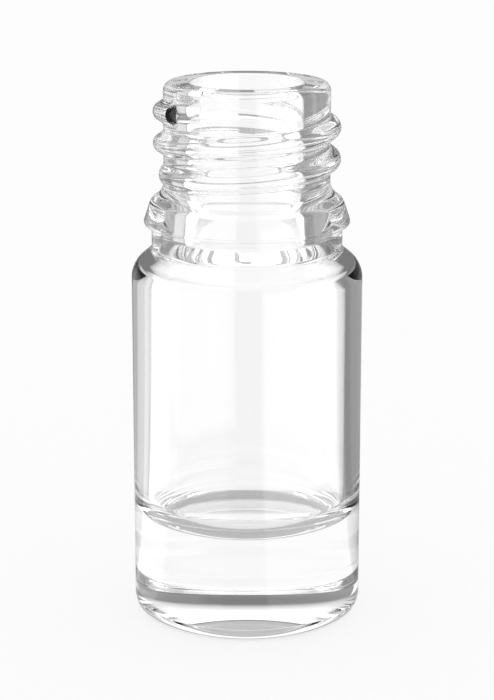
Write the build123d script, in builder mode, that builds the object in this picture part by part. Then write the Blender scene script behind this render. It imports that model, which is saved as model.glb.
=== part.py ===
from build123d import *
from math import radians, sqrt, tan
import os

# Moulded glass dropper bottle, bare and empty, in millimetres.
# The origin is the centre of the circle it stands on, +Z goes up through the mouth and
# -Y is the side that faces the viewer.

# Body, from the table upwards
body_diameter = 22.0
cavity_diameter = 19.0
base_thickness = 9.2
floor_corner_radius = 1.6
heel_radius = 1.4
heel_height = 1.45
heel_step = 0.05
heel_step_radius = 0.04
bearing_width = 1.1
pushup_depth = 0.7
pushup_edge_radius = 0.5
body_height = 34.5

# Shoulder, outside and inside
shoulder_rise = 1.62
shoulder_radius = 2.4
shoulder_foot_radius = 0.58
ceiling_thickness = 2.0
ceiling_slope = 14.0
ceiling_corner_radius = 1.6
bore_edge_radius = 0.5

# Plain neck ring and the transfer bead above it
ring_diameter = 18.12
ring_height = 2.3
ring_corner_radius = 0.12
bead_height = 3.26
bead_diameter = 19.82
bead_edge_radius = 0.35
bead_cone_angle = 18.3
bead_cone_height = 2.33
bead_top_radius = 0.99
bead_foot_radius = 1.63

# Screw finish: outer wall, bore and rim
neck_diameter = 15.74
neck_height = 10.25
bore_diameter = 10.72
rim_outer_radius = 0.83
rim_inner_radius = 0.3

# Single-start right-hand thread, measured on the neck wall
thread_pitch = 3.0
thread_width = 2.24
thread_relief = 0.98
thread_flank_angle = 55.5
thread_full_angle = 680.0
thread_runout_angle = 130.0
thread_start_angle = 212.0
thread_start_drop = 2.5
thread_start_radius = 0.25
thread_root_depth = 0.35

# Worked out from the sizes above
body_radius = body_diameter / 2
cavity_radius = cavity_diameter / 2
ring_radius = ring_diameter / 2
bead_radius = bead_diameter / 2
neck_radius = neck_diameter / 2
bore_radius = bore_diameter / 2
heel_wall_radius = body_radius - heel_step
shoulder_top = body_height + shoulder_rise
bead_bottom = shoulder_top + ring_height
bead_top = bead_bottom + bead_height
rim_height = bead_top + neck_height
bead_waist_height = bead_bottom + bead_cone_height
bead_waist_radius = bead_radius - bead_cone_height * tan(radians(bead_cone_angle))
ceiling_height = body_height - ceiling_thickness
ceiling_inner_height = ceiling_height + (cavity_radius - bore_radius) * tan(radians(ceiling_slope))
pushup_radius = heel_wall_radius - heel_radius - bearing_width
thread_full_rise = thread_pitch * thread_full_angle / 360
thread_runout_rise = thread_pitch * thread_runout_angle / 360
thread_ridge_height = rim_height - thread_start_drop - thread_full_rise
thread_ridge_angle = thread_start_angle - thread_full_angle
thread_foot_height = thread_ridge_height - thread_runout_rise
thread_foot_angle = thread_ridge_angle - thread_runout_angle
buried_share = 0.9 * thread_root_depth / (thread_relief + thread_root_depth)


def glass_section():
    """Corners of the wall's half section, each with the radius that rounds it."""
    return [
        ((0, 0), None),
        ((heel_wall_radius, 0), heel_radius),
        ((heel_wall_radius, heel_height), heel_step_radius),
        ((body_radius, heel_height + heel_step), heel_step_radius),
        ((body_radius, body_height), shoulder_radius),
        ((ring_radius, shoulder_top), shoulder_foot_radius),
        ((ring_radius, bead_bottom), ring_corner_radius),
        ((bead_radius, bead_bottom), bead_edge_radius),
        ((bead_waist_radius, bead_waist_height), bead_top_radius),
        ((neck_radius, bead_top), bead_foot_radius),
        ((neck_radius, rim_height), rim_outer_radius),
        ((bore_radius, rim_height), rim_inner_radius),
        ((bore_radius, ceiling_inner_height), bore_edge_radius),
        ((cavity_radius, ceiling_height), ceiling_corner_radius),
        ((cavity_radius, base_thickness), floor_corner_radius),
        ((0, base_thickness), None),
    ]


def ridge_section(place, share):
    """Section of the thread's ridge on a plane across it, with a share of its full height.

    The base line lies inside the neck wall, so that the ridge joins it all the way.
    """
    slope = tan(radians(thread_flank_angle))
    apex = (thread_width / 2 * slope + thread_root_depth) * share
    crest = (thread_relief + thread_root_depth) * share
    half_base = thread_width / 2 + thread_root_depth / slope
    flank = sqrt(1 + (apex / half_base) ** 2)
    with BuildSketch(place) as section:
        with BuildLine():
            crest_line = FilletPolyline(
                (-thread_root_depth, -half_base),
                (apex - thread_root_depth, 0),
                (-thread_root_depth, half_base),
                radius=(apex - crest) / (flank - 1),
            )
            Line(crest_line @ 1, crest_line @ 0)
        make_face()
    return section.sketch


def across(path, along):
    """Plane across a helix at a share of its length, with x pointing away from the neck."""
    point = path @ along
    return Plane(origin=point, x_dir=(point.X, point.Y, 0), z_dir=path % along)


# The thread's ridge, which rises from nothing over its run-out and then keeps its height
with BuildPart() as thread_runout:
    with BuildLine() as runout_path:
        Helix(pitch=thread_pitch, height=thread_runout_rise, radius=neck_radius)
    runout_helix = runout_path.edges()[0]
    runout_foot = ridge_section(across(runout_helix, 0), buried_share)
    runout_head = ridge_section(across(runout_helix, 1), 1)
    sweep([runout_foot, runout_head], path=runout_helix, multisection=True, is_frenet=True)

with BuildPart() as thread_ridge:
    with BuildLine() as ridge_path:
        Helix(pitch=thread_pitch, height=thread_full_rise, radius=neck_radius)
    ridge_helix = ridge_path.edges()[0]
    sweep(ridge_section(across(ridge_helix, 0), 1), path=ridge_helix, is_frenet=True)
    start_face = thread_ridge.faces().filter_by(GeomType.PLANE).sort_by(Axis.Z)[-1]
    fillet(start_face.edges(), thread_start_radius)

# The bottle: the wall turned about its axis, the hollow under the base, and the thread
with BuildPart() as glass_bottle:
    with BuildSketch(Plane.XZ):
        with BuildLine():
            corners = glass_section()
            points = [point for point, radius in corners]
            radii = [radius for point, radius in corners if radius is not None]
            wall_line = FilletPolyline(*points, radius=radii)
            Line(wall_line @ 1, wall_line @ 0)
        make_face()
    revolve(axis=Axis.Z)
    with BuildSketch(Plane.XZ):
        with BuildLine():
            dome = ThreePointArc((-pushup_radius, 0), (0, pushup_depth), (pushup_radius, 0))
            Line(dome @ 1, dome @ 0)
        make_face()
        split(bisect_by=Plane.YZ, keep=Keep.TOP)
    revolve(axis=Axis.Z, mode=Mode.SUBTRACT)
    base_circles = glass_bottle.edges().filter_by(GeomType.CIRCLE).group_by(Axis.Z)[0]
    fillet(base_circles.sort_by(SortBy.RADIUS)[0], pushup_edge_radius)
    with Locations(Location((0, 0, thread_foot_height), (0, 0, thread_foot_angle))):
        add(thread_runout.part)
    with Locations(Location((0, 0, thread_ridge_height), (0, 0, thread_ridge_angle))):
        add(thread_ridge.part)

glass_bottle.part.label = "glass_bottle"
os.makedirs("parts", exist_ok=True)
export_step(glass_bottle.part, "parts/glass_bottle.step")
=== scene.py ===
"""A small clear glass dropper bottle, bare and empty, in a pale studio.

The bottle is one piece of moulded glass. Its wall is a turned section with a screw thread raised on
the neck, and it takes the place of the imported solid. Sizes are in millimetres until they become
mesh coordinates, which are in metres in the shared frame.
"""

import logging
import math
from dataclasses import dataclass, field
from enum import Enum
from typing import Any

import bpy
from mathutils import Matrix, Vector

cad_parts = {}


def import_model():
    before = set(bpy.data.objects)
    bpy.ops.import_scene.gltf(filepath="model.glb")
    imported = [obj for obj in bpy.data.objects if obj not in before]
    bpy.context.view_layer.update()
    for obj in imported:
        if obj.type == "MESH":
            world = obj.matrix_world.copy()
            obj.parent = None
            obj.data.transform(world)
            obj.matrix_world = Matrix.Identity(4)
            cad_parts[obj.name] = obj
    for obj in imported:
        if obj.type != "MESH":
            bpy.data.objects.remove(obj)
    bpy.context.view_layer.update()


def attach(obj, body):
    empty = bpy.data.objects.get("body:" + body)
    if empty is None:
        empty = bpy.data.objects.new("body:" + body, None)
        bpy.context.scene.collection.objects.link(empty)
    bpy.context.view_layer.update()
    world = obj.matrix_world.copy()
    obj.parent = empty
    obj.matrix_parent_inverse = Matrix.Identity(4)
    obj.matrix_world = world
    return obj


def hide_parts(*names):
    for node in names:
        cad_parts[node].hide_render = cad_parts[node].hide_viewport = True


LOG = logging.getLogger("dropper_bottle")
MM = 0.001
WELD_DISTANCE = 0.0005
SMOOTH_ANGLE = 40.0
FLOOR_SIDES = 64
CAMERA_CLIP = 0.005
LIGHT_BOUNCES = 32
GLOSSY_BOUNCES = 16


class Facing(Enum):
    """How a corner of the section is finished."""

    SHARP = "sharp"
    ROUND = "round"


@dataclass(frozen=True)
class Corner:
    """A corner of the wall's half section.

    Attributes:
        radius: Distance from the bottle's axis.
        height: Height above the table.
        rounding: Radius of the arc that rounds the corner, or 0 for a plain corner.
        segments: Number of chords along that arc.
    """

    radius: float
    height: float
    rounding: float = 0.0
    segments: int = 10

    @property
    def facing(self) -> Facing:
        """Whether the corner is rounded."""
        return Facing.ROUND if self.rounding > 0 else Facing.SHARP


def deselect_everything() -> None:
    """Leave object mode and deselect all objects."""
    if bpy.context.object is not None and bpy.context.object.mode != "OBJECT":
        bpy.ops.object.mode_set(mode="OBJECT")
    bpy.ops.object.select_all(action="DESELECT")


def activate(piece: bpy.types.Object) -> None:
    """Select one piece in object mode and make it the active one."""
    deselect_everything()
    piece.select_set(True)
    bpy.context.view_layer.objects.active = piece


def edit(piece: bpy.types.Object) -> None:
    """Enter edit mode on one piece with nothing selected."""
    activate(piece)
    bpy.ops.object.mode_set(mode="EDIT")
    bpy.ops.mesh.select_all(action="DESELECT")


def pick_vertices(piece: bpy.types.Object, wanted: set[int]) -> None:
    """Select some vertices of the piece in edit mode and nothing else.

    Args:
        piece: The mesh object in edit mode.
        wanted: Indices of the vertices to select.
    """
    bpy.ops.mesh.select_mode(type="VERT")
    bpy.ops.mesh.select_all(action="DESELECT")
    bpy.ops.object.mode_set(mode="OBJECT")
    for vertex in piece.data.vertices:
        vertex.select = vertex.index in wanted
    bpy.ops.object.mode_set(mode="EDIT")


def pick_edges(piece: bpy.types.Object, wanted: set[int]) -> None:
    """Select some edges of the piece in edit mode and nothing else.

    Args:
        piece: The mesh object in edit mode.
        wanted: Indices of the edges to select.
    """
    bpy.ops.mesh.select_mode(type="EDGE")
    bpy.ops.mesh.select_all(action="DESELECT")
    bpy.ops.object.mode_set(mode="OBJECT")
    for edge in piece.data.edges:
        edge.select = edge.index in wanted
    bpy.ops.object.mode_set(mode="EDIT")


@dataclass
class ScrewThread:
    """The single-start right-hand ridge on the neck's wall.

    Attributes:
        neck_radius: Radius of the wall that carries the ridge; not used.
        start_height: Height of the ridge's middle at its blunt upper end.
        pitch: Rise of the ridge in one turn.
        width: Width of the ridge on the wall.
        relief: Height of its crest over the wall.
        flank_angle: Slope of its flanks against the wall, in degrees.
        full_angle: Angle over which it keeps its whole height.
        runout_angle: Angle over which it rises from nothing at the lower end.
        start_angle: Direction of the blunt upper end, in degrees from +X.
        start_blend: Angle over which that end falls to the wall.
        root_depth: Depth under the wall at which the lower end starts.
        root_softness: Size of the rounding where the flanks meet the wall.
        buried_share: Share of the root's depth that lies under the wall at the foot.
        laps: Number of turns to look through for the ridge at one place.
    """

    neck_radius: float
    start_height: float
    pitch: float = 3.0
    width: float = 2.24
    relief: float = 0.98
    flank_angle: float = 55.5
    full_angle: float = 680.0
    runout_angle: float = 130.0
    start_angle: float = 212.0
    start_blend: float = 4.0
    root_depth: float = 0.35
    root_softness: float = 0.07
    buried_share: float = 0.9
    laps: int = 4

    @property
    def turned(self) -> float:
        """Whole angle of the ridge in degrees."""
        return self.full_angle + self.runout_angle

    @property
    def foot_height(self) -> float:
        """Height of the ridge's middle at the end of its run-out."""
        return self.start_height - self.pitch * self.turned / 360

    def profile(self, offset: float) -> float:
        """Height of the full ridge over the wall, below zero outside its foot.

        Args:
            offset: Distance above or below the ridge's middle.

        Returns:
            Height of the flank or of the rounded crest.
        """
        slope = math.tan(math.radians(self.flank_angle))
        tilt = math.sqrt(1 + slope * slope)
        crest_radius = (self.width / 2 * slope - self.relief) / (tilt - 1)
        if abs(offset) < crest_radius * slope / tilt:
            return self.relief - crest_radius + math.sqrt(crest_radius**2 - offset**2)
        return slope * (self.width / 2 - abs(offset))

    def share(self, turn: float) -> float:
        """Share of its full section that the ridge has at an angle from its foot.

        Args:
            turn: Angle from the foot in degrees.

        Returns:
            0 outside the ridge, up to 1 along the full thread.
        """
        buried = self.buried_share * self.root_depth / (self.relief + self.root_depth)
        if turn < 0:
            return 0.0
        if turn < self.runout_angle:
            return buried + (1 - buried) * turn / self.runout_angle
        past = (turn - self.turned) / self.start_blend
        if past <= 0:
            return 1.0
        if past >= 1:
            return 0.0
        return 1 - past * past * (3 - 2 * past)

    def height_at(self, angle: float, height: float) -> float:
        """Height of the ridge over the wall at a place on the neck.

        Args:
            angle: Direction of the place round the axis, in degrees from +X.
            height: Height of the place above the table.

        Returns:
            How far the wall stands out there.
        """
        first = (angle - self.start_angle + self.turned) % 360
        best = 0.0
        for lap in range(self.laps):
            turn = first + 360 * lap
            share = self.share(turn)
            if share <= 0:
                continue
            middle = self.foot_height + self.pitch * turn / 360
            raised = self.profile(height - middle)
            raised = (max(raised, -self.root_depth) + self.root_depth) * share - self.root_depth
            best = max(best, (raised + math.hypot(raised, self.root_softness)) / 2)
        return best if best > self.root_softness / 4 else 0.0


@dataclass
class GlassBottle:
    """The bottle's wall as one watertight turned mesh with its thread.

    The fields are sizes in millimetres, angles in degrees and mesh densities. Names that end in row
    are the greatest distance between two rows of vertices, and columns counts them round the axis.
    Names that end in reach say how far inside the neck's wall a place still counts as on it.
    """

    body_diameter: float = 22.0
    wall_thickness: float = 1.55
    base_thickness: float = 9.5
    floor_corner: float = 3.1
    heel_radius: float = 1.4
    heel_height: float = 1.45
    heel_step: float = 0.05
    heel_step_radius: float = 0.04
    bearing_width: float = 0.25
    pushup_depth: float = 1.53
    pushup_edge: float = 0.5
    body_height: float = 34.5
    shoulder_rise: float = 1.62
    shoulder_radius: float = 2.4
    shoulder_foot: float = 0.58
    ceiling_thickness: float = 0.5
    ceiling_slope: float = 38.0
    ceiling_corner: float = 0.4
    bore_edge: float = 0.5
    ring_diameter: float = 18.12
    ring_height: float = 2.3
    ring_corner: float = 0.12
    bead_height: float = 3.26
    bead_diameter: float = 19.82
    bead_edge: float = 0.35
    bead_cone_angle: float = 18.3
    bead_cone_height: float = 2.33
    bead_top_rounding: float = 0.99
    bead_foot_rounding: float = 1.63
    neck_diameter: float = 15.74
    neck_height: float = 10.25
    bore_diameter: float = 10.72
    rim_outer: float = 0.83
    rim_inner: float = 0.3
    thread_start_drop: float = 2.5
    thread_row: float = 0.08
    wall_row: float = 1.2
    columns: int = 270
    dome_steps: int = 30
    row_reach: float = 0.01
    thread_reach: float = 0.05

    @property
    def rim_height(self) -> float:
        """Height of the mouth's rim above the table."""
        below_neck = self.body_height + self.shoulder_rise + self.ring_height + self.bead_height
        return below_neck + self.neck_height

    def section(self) -> list[Corner]:
        """Corners of the half section, from the middle of the base to the middle of the floor."""
        body = self.body_diameter / 2
        cavity = body - self.wall_thickness
        heel = body - self.heel_step
        ring = self.ring_diameter / 2
        bead = self.bead_diameter / 2
        neck = self.neck_diameter / 2
        bore = self.bore_diameter / 2
        shoulder_top = self.body_height + self.shoulder_rise
        bead_bottom = shoulder_top + self.ring_height
        bead_top = bead_bottom + self.bead_height
        waist = bead - self.bead_cone_height * math.tan(math.radians(self.bead_cone_angle))
        ceiling = self.body_height - self.ceiling_thickness
        ceiling_inner = ceiling + (cavity - bore) * math.tan(math.radians(self.ceiling_slope))
        return self.pushup() + [
            Corner(heel, 0, self.heel_radius, 14),
            Corner(heel, self.heel_height, self.heel_step_radius, 3),
            Corner(body, self.heel_height + self.heel_step, self.heel_step_radius, 3),
            Corner(body, self.body_height, self.shoulder_radius, 12),
            Corner(ring, shoulder_top, self.shoulder_foot, 6),
            Corner(ring, bead_bottom, self.ring_corner, 4),
            Corner(bead, bead_bottom, self.bead_edge, 10),
            Corner(waist, bead_bottom + self.bead_cone_height, self.bead_top_rounding, 6),
            Corner(neck, bead_top, self.bead_foot_rounding, 18),
            Corner(neck, self.rim_height, self.rim_outer, 12),
            Corner(bore, self.rim_height, self.rim_inner, 8),
            Corner(bore, ceiling_inner, self.bore_edge, 8),
            Corner(cavity, ceiling, self.ceiling_corner, 12),
            Corner(cavity, self.base_thickness, self.floor_corner, 14),
            Corner(0, self.base_thickness),
        ]

    def pushup(self) -> list[Corner]:
        """Points along the dome under the base, from the axis to the bearing ring."""
        reach = self.body_diameter / 2 - self.heel_step - self.heel_radius - self.bearing_width
        sphere = (reach**2 + self.pushup_depth**2) / (2 * self.pushup_depth)
        radii = [reach * step / self.dome_steps for step in range(self.dome_steps)]
        drop = sphere - self.pushup_depth
        dome = [Corner(radius, math.sqrt(sphere**2 - radius**2) - drop) for radius in radii]
        return [*dome, Corner(reach, 0, self.pushup_edge, 4)]

    def draw_section(self) -> bpy.types.Object:
        """Draw the half section as a chain of edges and round its corners.

        Returns:
            The new object, in edit mode.
        """
        deselect_everything()
        corners = self.section()
        bpy.ops.mesh.primitive_plane_add(size=MM, location=(0, 0, 0))
        piece = bpy.context.object
        piece.name = "clear_glass_bottle"
        bpy.ops.object.mode_set(mode="EDIT")
        bpy.ops.mesh.merge(type="CENTER")
        here = Vector((corners[0].radius, 0, corners[0].height)) * MM
        bpy.ops.transform.translate(value=here)
        for corner in corners[1:]:
            there = Vector((corner.radius, 0, corner.height)) * MM
            bpy.ops.mesh.extrude_region_move(TRANSFORM_OT_translate={"value": there - here})
            here = there
        self.round_corners(piece, corners)
        return piece

    def round_corners(self, piece: bpy.types.Object, corners: list[Corner]) -> None:
        """Bevel each rounded corner of the drawn chain.

        Args:
            piece: The chain, in edit mode, with one vertex for each corner.
            corners: The section's corners in the same order.
        """
        for index, corner in enumerate(corners):
            if corner.facing is Facing.SHARP:
                continue
            before, after = corners[index - 1], corners[index + 1]
            back = Vector((before.radius - corner.radius, before.height - corner.height))
            onward = Vector((after.radius - corner.radius, after.height - corner.height))
            half_turn = (math.pi - back.normalized().angle(onward.normalized())) / 2
            self.select_at(piece, corner)
            bpy.ops.mesh.bevel(
                offset=corner.rounding * math.tan(half_turn) * MM,
                offset_type="OFFSET",
                segments=corner.segments,
                profile=0.5,
                affect="VERTICES",
            )

    @staticmethod
    def select_at(piece: bpy.types.Object, corner: Corner) -> None:
        """Select the chain's vertex that lies on a corner.

        Args:
            piece: The chain, in edit mode.
            corner: The corner to look for.
        """
        bpy.ops.object.mode_set(mode="OBJECT")
        spot = Vector((corner.radius, 0, corner.height)) * MM
        nearest = min(piece.data.vertices, key=lambda vertex: (vertex.co - spot).length)
        bpy.ops.object.mode_set(mode="EDIT")
        pick_vertices(piece, {nearest.index})

    def divide_rows(self, piece: bpy.types.Object) -> None:
        """Divide the section's long edges, finely where the thread stands on the neck.

        Args:
            piece: The chain, in edit mode.
        """
        bpy.ops.object.mode_set(mode="OBJECT")
        neck_foot = self.rim_height - self.neck_height
        cuts: dict[int, set[int]] = {}
        for edge in piece.data.edges:
            ends = [piece.data.vertices[index].co / MM for index in edge.vertices]
            length = (ends[0] - ends[1]).length
            above_bead = min(end.z for end in ends) > neck_foot
            outside = min(end.x for end in ends) > self.neck_diameter / 2 - self.row_reach
            carries_thread = above_bead and outside and length > 1
            row = self.thread_row if carries_thread else self.wall_row
            number = math.ceil(length / row) - 1
            if number > 0:
                cuts.setdefault(number, set()).add(edge.index)
        plan = [
            (number, [tuple(piece.data.edges[index].vertices) for index in indices])
            for number, indices in cuts.items()
        ]
        bpy.ops.object.mode_set(mode="EDIT")
        for number, pairs in plan:
            bpy.ops.object.mode_set(mode="OBJECT")
            wanted = {edge.index for edge in piece.data.edges if tuple(edge.vertices) in pairs}
            bpy.ops.object.mode_set(mode="EDIT")
            pick_edges(piece, wanted)
            bpy.ops.mesh.subdivide(number_cuts=number)

    def turn(self, piece: bpy.types.Object) -> None:
        """Turn the section about the bottle's axis into a closed wall.

        Args:
            piece: The chain, in edit mode.
        """
        bpy.ops.object.mode_set(mode="OBJECT")
        lathe = piece.modifiers.new("lathe", "SCREW")
        lathe.axis = "Z"
        lathe.angle = 2 * math.pi
        lathe.steps = self.columns
        lathe.render_steps = self.columns
        lathe.use_merge_vertices = True
        lathe.merge_threshold = WELD_DISTANCE * MM
        bpy.ops.object.modifier_apply(modifier=lathe.name)
        edit(piece)
        bpy.ops.mesh.select_mode(type="VERT")
        bpy.ops.mesh.select_all(action="SELECT")
        bpy.ops.mesh.remove_doubles(threshold=WELD_DISTANCE * MM)
        bpy.ops.mesh.normals_make_consistent(inside=False)
        bpy.ops.object.mode_set(mode="OBJECT")

    def raise_thread(self, piece: bpy.types.Object) -> None:
        """Push the neck's wall out along the thread by the weights of a vertex group.

        Args:
            piece: The turned wall.
        """
        thread = ScrewThread(self.neck_diameter / 2, self.rim_height - self.thread_start_drop)
        group = piece.vertex_groups.new(name="thread")
        low = thread.foot_height - thread.width
        high = thread.start_height + thread.width
        for vertex in piece.data.vertices:
            place = vertex.co / MM
            on_wall = math.hypot(place.x, place.y) >= self.neck_diameter / 2 - self.thread_reach
            if not on_wall or not low < place.z < high:
                continue
            angle = math.degrees(math.atan2(place.y, place.x))
            raised = thread.height_at(angle, place.z)
            if raised > 0:
                group.add([vertex.index], raised / (2 * thread.relief), "REPLACE")
        activate(piece)
        push = piece.modifiers.new("thread", "DISPLACE")
        push.vertex_group = group.name
        push.mid_level = 0.0
        push.strength = 2 * thread.relief * MM
        push.direction = "NORMAL"
        bpy.ops.object.modifier_apply(modifier=push.name)

    def build(self) -> bpy.types.Object:
        """Model the bottle.

        Returns:
            The finished glass object at the origin.
        """
        piece = self.draw_section()
        self.divide_rows(piece)
        self.turn(piece)
        self.raise_thread(piece)
        activate(piece)
        bpy.ops.object.shade_smooth_by_angle(angle=math.radians(SMOOTH_ANGLE))
        return piece


@dataclass
class Wire:
    """A node socket's output with arithmetic, so that shader maths reads as Python."""

    tree: bpy.types.NodeTree
    socket: bpy.types.NodeSocket | None

    def _math(self, operation: str, *others: Any, first: Any = None, clamp: bool = False) -> "Wire":
        """Add a Math node.

        Args:
            operation: The node's operation.
            others: Further operands, wires or numbers.
            first: An operand to put before this one, if any.
            clamp: Whether the result is kept between 0 and 1.

        Returns:
            The node's result.
        """
        operands = ([first] if first is not None else []) + [self, *others]
        settings = {"operation": operation, "use_clamp": clamp}
        return Bench(self.tree).make("ShaderNodeMath", settings, operands)

    def __add__(self, other: Any) -> "Wire":
        """Sum."""
        return self._math("ADD", other)

    __radd__ = __add__

    def __mul__(self, other: Any) -> "Wire":
        """Product."""
        return self._math("MULTIPLY", other)

    __rmul__ = __mul__

    def __sub__(self, other: Any) -> "Wire":
        """Difference."""
        return self._math("SUBTRACT", other)

    def __rsub__(self, other: Any) -> "Wire":
        """Difference from a number."""
        return self._math("SUBTRACT", first=other)

    def __truediv__(self, other: Any) -> "Wire":
        """Quotient."""
        return self._math("DIVIDE", other)

    def smaller(self, other: Any) -> "Wire":
        """The smaller of two values."""
        return self._math("MINIMUM", other)

    def larger(self, other: Any) -> "Wire":
        """The larger of two values."""
        return self._math("MAXIMUM", other)

    def size(self) -> "Wire":
        """The value without its sign."""
        return self._math("ABSOLUTE")

    def root(self) -> "Wire":
        """Square root."""
        return self._math("SQRT")

    def angle_to(self, other: Any) -> "Wire":
        """Angle in radians whose tangent is this value over the other."""
        return self._math("ARCTAN2", other)

    def clamped(self) -> "Wire":
        """The value kept between 0 and 1."""
        return self._math("ADD", 0.0, clamp=True)


@dataclass
class Bench:
    """Makes the nodes of one material or world."""

    tree: bpy.types.NodeTree

    def make(self, kind: str, settings: dict[str, Any], inputs: Any, output: Any = 0) -> Wire:
        """Add a node.

        Args:
            kind: The node's type.
            settings: Properties to set on the node before its sockets.
            inputs: Values or wires, as a list in order or a dictionary by socket.
            output: Which output to return, or None for a node without one.

        Returns:
            The chosen output.
        """
        node = self.tree.nodes.new(kind)
        for name, value in settings.items():
            setattr(node, name, value)
        pairs = inputs.items() if isinstance(inputs, dict) else enumerate(inputs)
        for key, value in pairs:
            if isinstance(value, Wire):
                self.tree.links.new(value.socket, node.inputs[key])
            else:
                node.inputs[key].default_value = value
        return Wire(self.tree, None if output is None else node.outputs[output])

    def straight_sight(self) -> Wire:
        """1 for sight that has met no reflection, directly or through the glass, and 0 after one."""
        return 1 - self.make("ShaderNodeLightPath", {}, {}, "Glossy Depth").clamped()

    def split(self, vector: Wire) -> list[Wire]:
        """Split a vector into its three parts."""
        first = self.make("ShaderNodeSeparateXYZ", {}, [vector])
        return [Wire(self.tree, socket) for socket in first.socket.node.outputs]


@dataclass(frozen=True)
class ClearGlass:
    """Flint glass with a fire-polished skin.

    Attributes:
        refraction: Refractive index.
        tint: Colour of the light that passes.
        roughness: Roughness of the surface.
    """

    refraction: float = 1.5
    tint: tuple[float, float, float] = (1.0, 1.0, 1.0)
    roughness: float = 0.0

    def dress(self, piece: bpy.types.Object) -> None:
        """Give the piece its glass.

        Args:
            piece: The mesh to dress.
        """
        material = bpy.data.materials.new("clear_glass")
        material.use_nodes = True
        tree = material.node_tree
        shader = tree.nodes["Principled BSDF"]
        shader.inputs["Base Color"].default_value = (*self.tint, 1.0)
        shader.inputs["Roughness"].default_value = self.roughness
        shader.inputs["IOR"].default_value = self.refraction
        shader.inputs["Transmission Weight"].default_value = 1.0
        piece.data.materials.clear()
        piece.data.materials.append(material)


@dataclass(frozen=True)
class Flag:
    """A panel of the light tent, seen from the bottle.

    Attributes:
        name: What the panel is; not used.
        side: Middle of the panel in degrees round the axis, from behind the bottle to the right.
        half_width: Half of its width in degrees.
        middle: Height of its middle over the horizon in degrees.
        half_height: Half of its height in degrees.
        softness: Width of the soft border in degrees.
        tone: How bright it is, where 1 is white.
    """

    name: str
    side: float
    half_width: float
    middle: float
    half_height: float
    softness: float
    tone: float


@dataclass
class LightTent:
    """The white tent round the bottle, with grey flags that draw the edges of the glass."""

    tone: float = 0.4
    flags: tuple[Flag, ...] = (
        Flag("back wall", 0, 62, 5, 22, 6, 0.2),
        Flag("left back wall", -42, 16, -12, 14, 6, 0.7),
        Flag("right dark flag", 57, 13, -6, 22, 6, 0.1),
        Flag("left softbox", -83, 22, -4, 30, 4, 1.9),
        Flag("left front wall", -133, 28, -4, 28, 6, 0.72),
        Flag("right softbox", 118, 46, -4, 28, 4, 1.6),
        Flag("floor cloth", 0, 200, -90, 58, 14, 0.5),
        Flag("ceiling", 0, 200, 90, 56, 14, 1.15),
    )

    def shade(self, across: Wire, away: Wire, up: Wire) -> Wire:
        """Work out how bright the tent is in a direction.

        Args:
            across: The direction's part along +X.
            away: Its part along +Y.
            up: Its part along +Z.

        Returns:
            The tone in that direction.
        """
        in_degrees = 180 / math.pi
        side = across.angle_to(away) * in_degrees
        rise = up.angle_to((across * across + away * away).root()) * in_degrees
        tone: Any = self.tone
        for flag in self.flags:
            turn = (side - flag.side).size()
            turn = turn.smaller(360 - turn)
            beside = ((flag.half_width - turn) / flag.softness + 0.5).clamped()
            climb = (rise - flag.middle).size()
            above = ((flag.half_height - climb) / flag.softness + 0.5).clamped()
            tone = tone + beside * above * (flag.tone - tone)
        return tone


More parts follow.
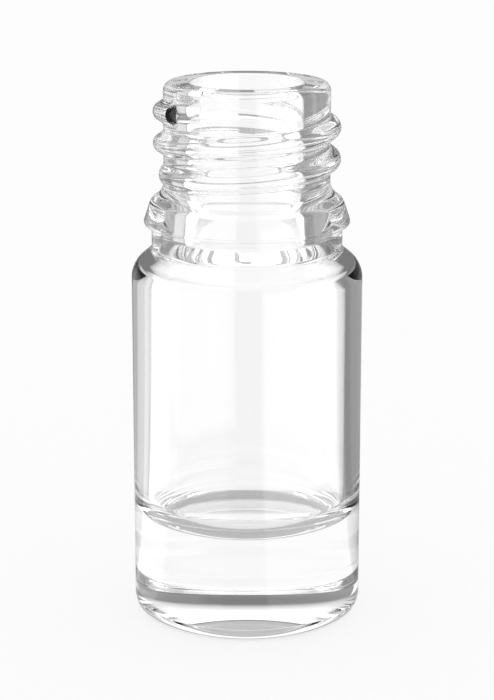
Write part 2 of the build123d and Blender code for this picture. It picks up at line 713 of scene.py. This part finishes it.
@dataclass
class Studio:
    """The pale floor, the light tent and the camera."""

    floor_reach: float = 1200.0
    # Share of the floor's shader that glows: plain white to straight sight, and painted tent shading in
    # reflections.
    floor_glow: float = 0.8
    floor_colour: float = 0.9
    glance_height: float = 10.0
    view_tilt: float = 14.8
    view_distance: float = 218.3
    view_height: float = 25.95
    focal_pixels: float = 2266.0
    frame_height: float = 700.0
    sensor: float = 36.0
    tent: LightTent = field(default_factory=LightTent)

    def lay_floor(self) -> bpy.types.Object:
        """Lay the floor under the bottle.

        Returns:
            The floor.
        """
        deselect_everything()
        bpy.ops.mesh.primitive_circle_add(
            vertices=FLOOR_SIDES, radius=self.floor_reach / 2 * MM, fill_type="NGON", location=(0, 0, 0)
        )
        floor = bpy.context.object
        floor.name = "pale_floor"
        floor.data.materials.append(self.floor_material())
        return floor

    def floor_material(self) -> bpy.types.Material:
        """Make the floor's material, white by direct sight and glowing in reflections with painted tent
        shading.
        """
        material = bpy.data.materials.new("pale_floor")
        material.use_nodes = True
        bench = Bench(material.node_tree)
        material.node_tree.nodes.clear()
        # Painted light: the tent's tones are painted on the floor by place, as if each spot were a
        # direction seen from the bottle, glance_height under it.
        place = bench.make("ShaderNodeTexCoord", {}, {}, "Object")
        across, away = bench.split(place)[:2]
        below = bench.make("ShaderNodeValue", {}, {})
        below.socket.default_value = -self.glance_height * MM
        # Painted shade: grey wedges from the flags round the bottle, and a grey patch near its foot
        # from the floor cloth flag.
        tone = self.tent.shade(across, away, below)
        # The floor glows plain white to straight sight and with this painted shade after a reflection;
        # the matt share keeps the real shadow.
        glow = bench.straight_sight() * (1 - tone) + tone
        grey = bench.make("ShaderNodeCombineColor", {}, [glow, glow, glow])
        glowing = bench.make("ShaderNodeEmission", {}, {"Color": grey, "Strength": 1.0})
        matt = bench.make("ShaderNodeBsdfDiffuse", {}, {"Color": (self.floor_colour,) * 3 + (1.0,)})
        surface = bench.make("ShaderNodeMixShader", {}, {"Fac": self.floor_glow, 1: matt, 2: glowing})
        bench.make("ShaderNodeOutputMaterial", {}, {"Surface": surface}, None)
        return material

    def light_world(self) -> None:
        """Hang the light tent, which straight sight shows as plain white."""
        world = bpy.data.worlds.new("light_tent")
        world.use_nodes = True
        bpy.context.scene.world = world
        world.node_tree.nodes.clear()
        bench = Bench(world.node_tree)
        direction = bench.make("ShaderNodeTexCoord", {}, {}, "Generated")
        tone = self.tent.shade(*bench.split(direction))
        glow = bench.straight_sight() * (1 - tone) + tone
        grey = bench.make("ShaderNodeCombineColor", {}, [glow, glow, glow])
        sky = bench.make("ShaderNodeBackground", {}, {"Color": grey, "Strength": 1.0})
        bench.make("ShaderNodeOutputWorld", {}, {"Surface": sky}, None)

    def place_camera(self) -> None:
        """Set the camera at the photograph's viewing angle."""
        deselect_everything()
        tilt = math.radians(self.view_tilt)
        back = self.view_distance * math.cos(tilt)
        place = Vector((0, -back, self.view_height + self.view_distance * math.sin(tilt)))
        bpy.ops.object.camera_add(location=place * MM, rotation=(math.pi / 2 - tilt, 0, 0))
        camera = bpy.context.object
        camera.name = "camera"
        camera.data.sensor_width = self.sensor
        camera.data.lens = self.focal_pixels / self.frame_height * self.sensor
        camera.data.clip_start = CAMERA_CLIP
        bpy.context.scene.camera = camera


def main() -> None:
    """Build the bottle and the studio."""
    logging.basicConfig(level=logging.INFO, format="%(message)s")
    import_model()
    glass = GlassBottle().build()
    LOG.info("%s: %d faces", glass.name, len(glass.data.polygons))
    ClearGlass().dress(glass)
    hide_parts("glass_bottle")
    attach(glass, "root")
    studio = Studio()
    studio.lay_floor()
    studio.light_world()
    studio.place_camera()
    scene = bpy.context.scene
    scene.view_settings.view_transform = "Standard"
    scene.cycles.max_bounces = LIGHT_BOUNCES
    scene.cycles.transmission_bounces = LIGHT_BOUNCES
    scene.cycles.glossy_bounces = GLOSSY_BOUNCES


if __name__ == "__main__":
    main()
